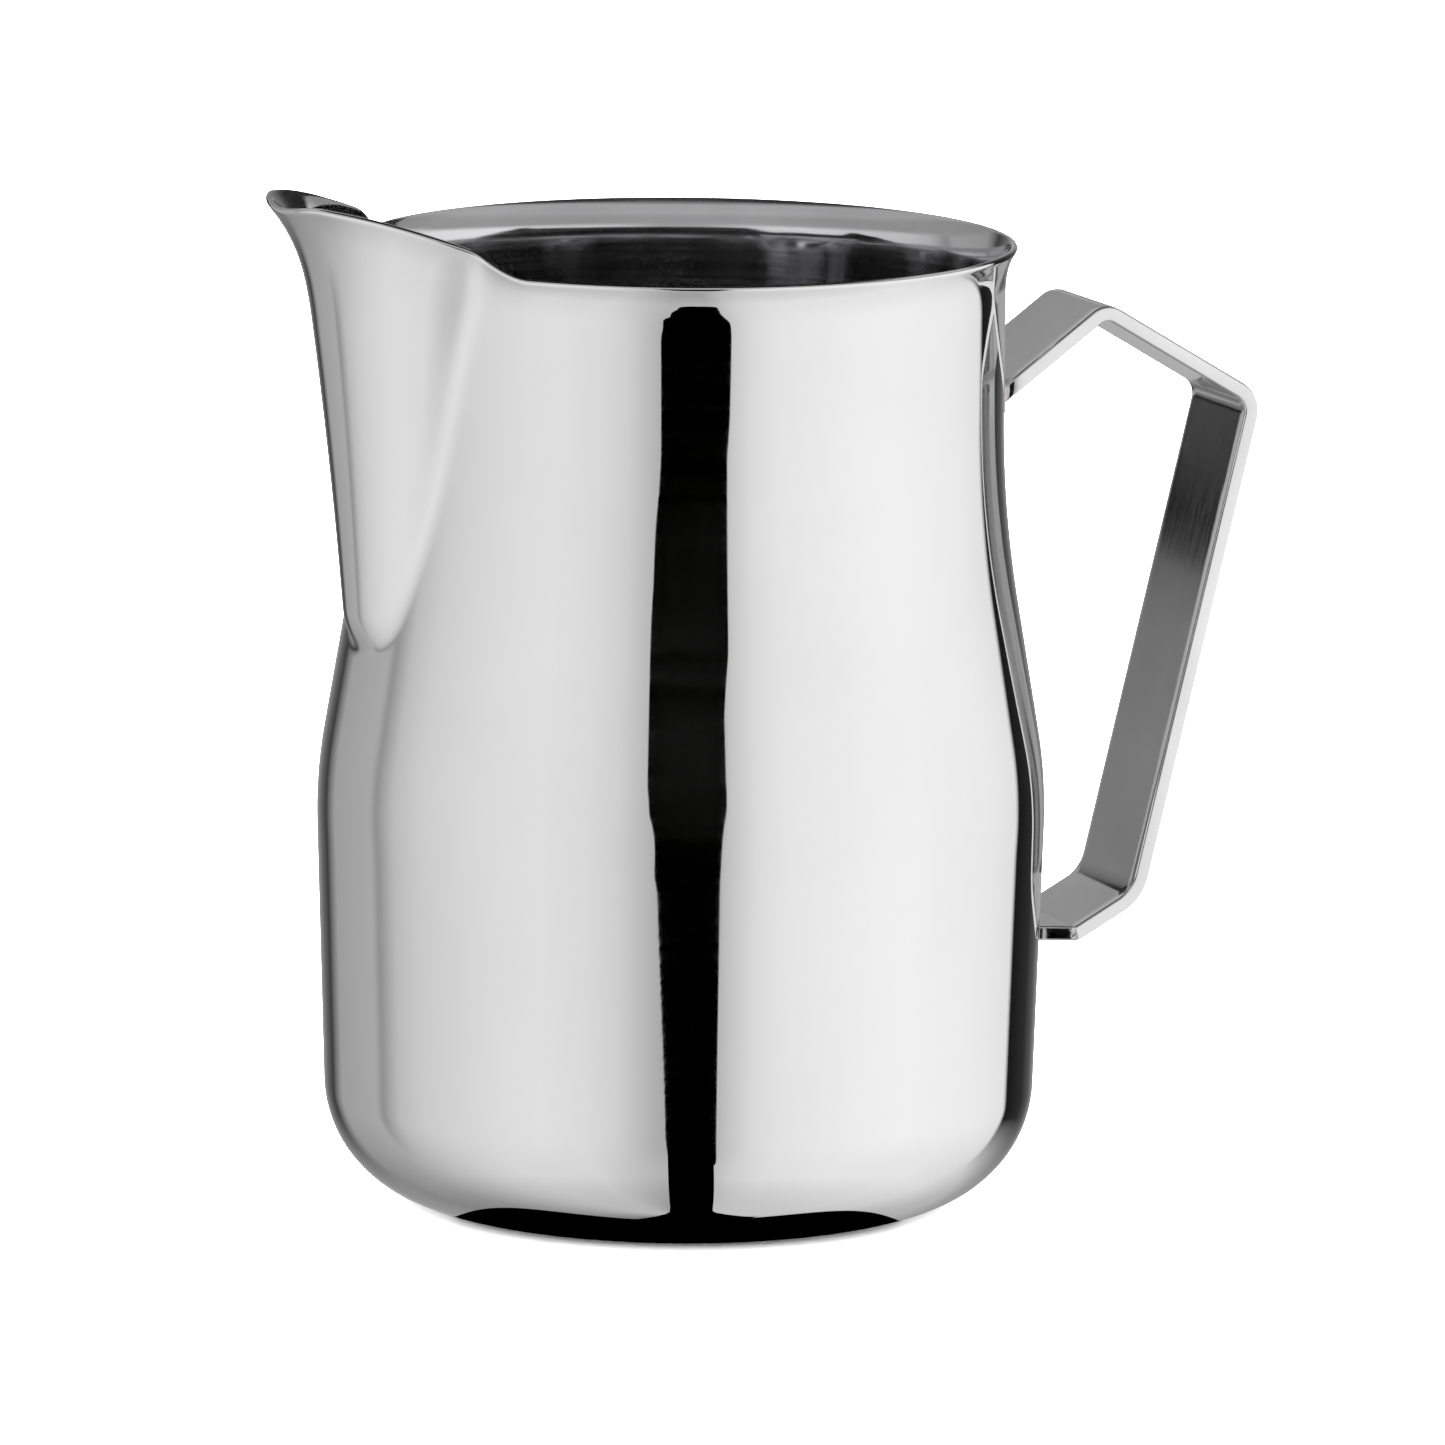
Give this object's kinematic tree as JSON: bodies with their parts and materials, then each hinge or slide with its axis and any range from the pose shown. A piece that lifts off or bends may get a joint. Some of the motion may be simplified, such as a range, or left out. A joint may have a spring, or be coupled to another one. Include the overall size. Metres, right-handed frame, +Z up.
{
  "type": "milk frothing pitcher",
  "caption": "Open stainless steel jug for steaming and pouring milk, with a pinched pouring spout and a bent flat-bar handle.",
  "frame": {"origin": "centre of the flat base, on the surface the pitcher stands on", "axes": "+Z up along the axis of the round body, -X out through the spout, +X out through the handle"},
  "size_m": [0.1357, 0.096, 0.1353],
  "materials": {
    "polished_steel": "mirror polished stainless steel",
    "handle_steel": "polished stainless steel bar",
    "weld_steel": "brushed weld bead"
  },
  "bodies": {
    "root": {"pitcher_body": "polished_steel", "handle_strip": "handle_steel", "upper_weld": "weld_steel", "lower_weld": "weld_steel"}
  },
  "joints": []
}
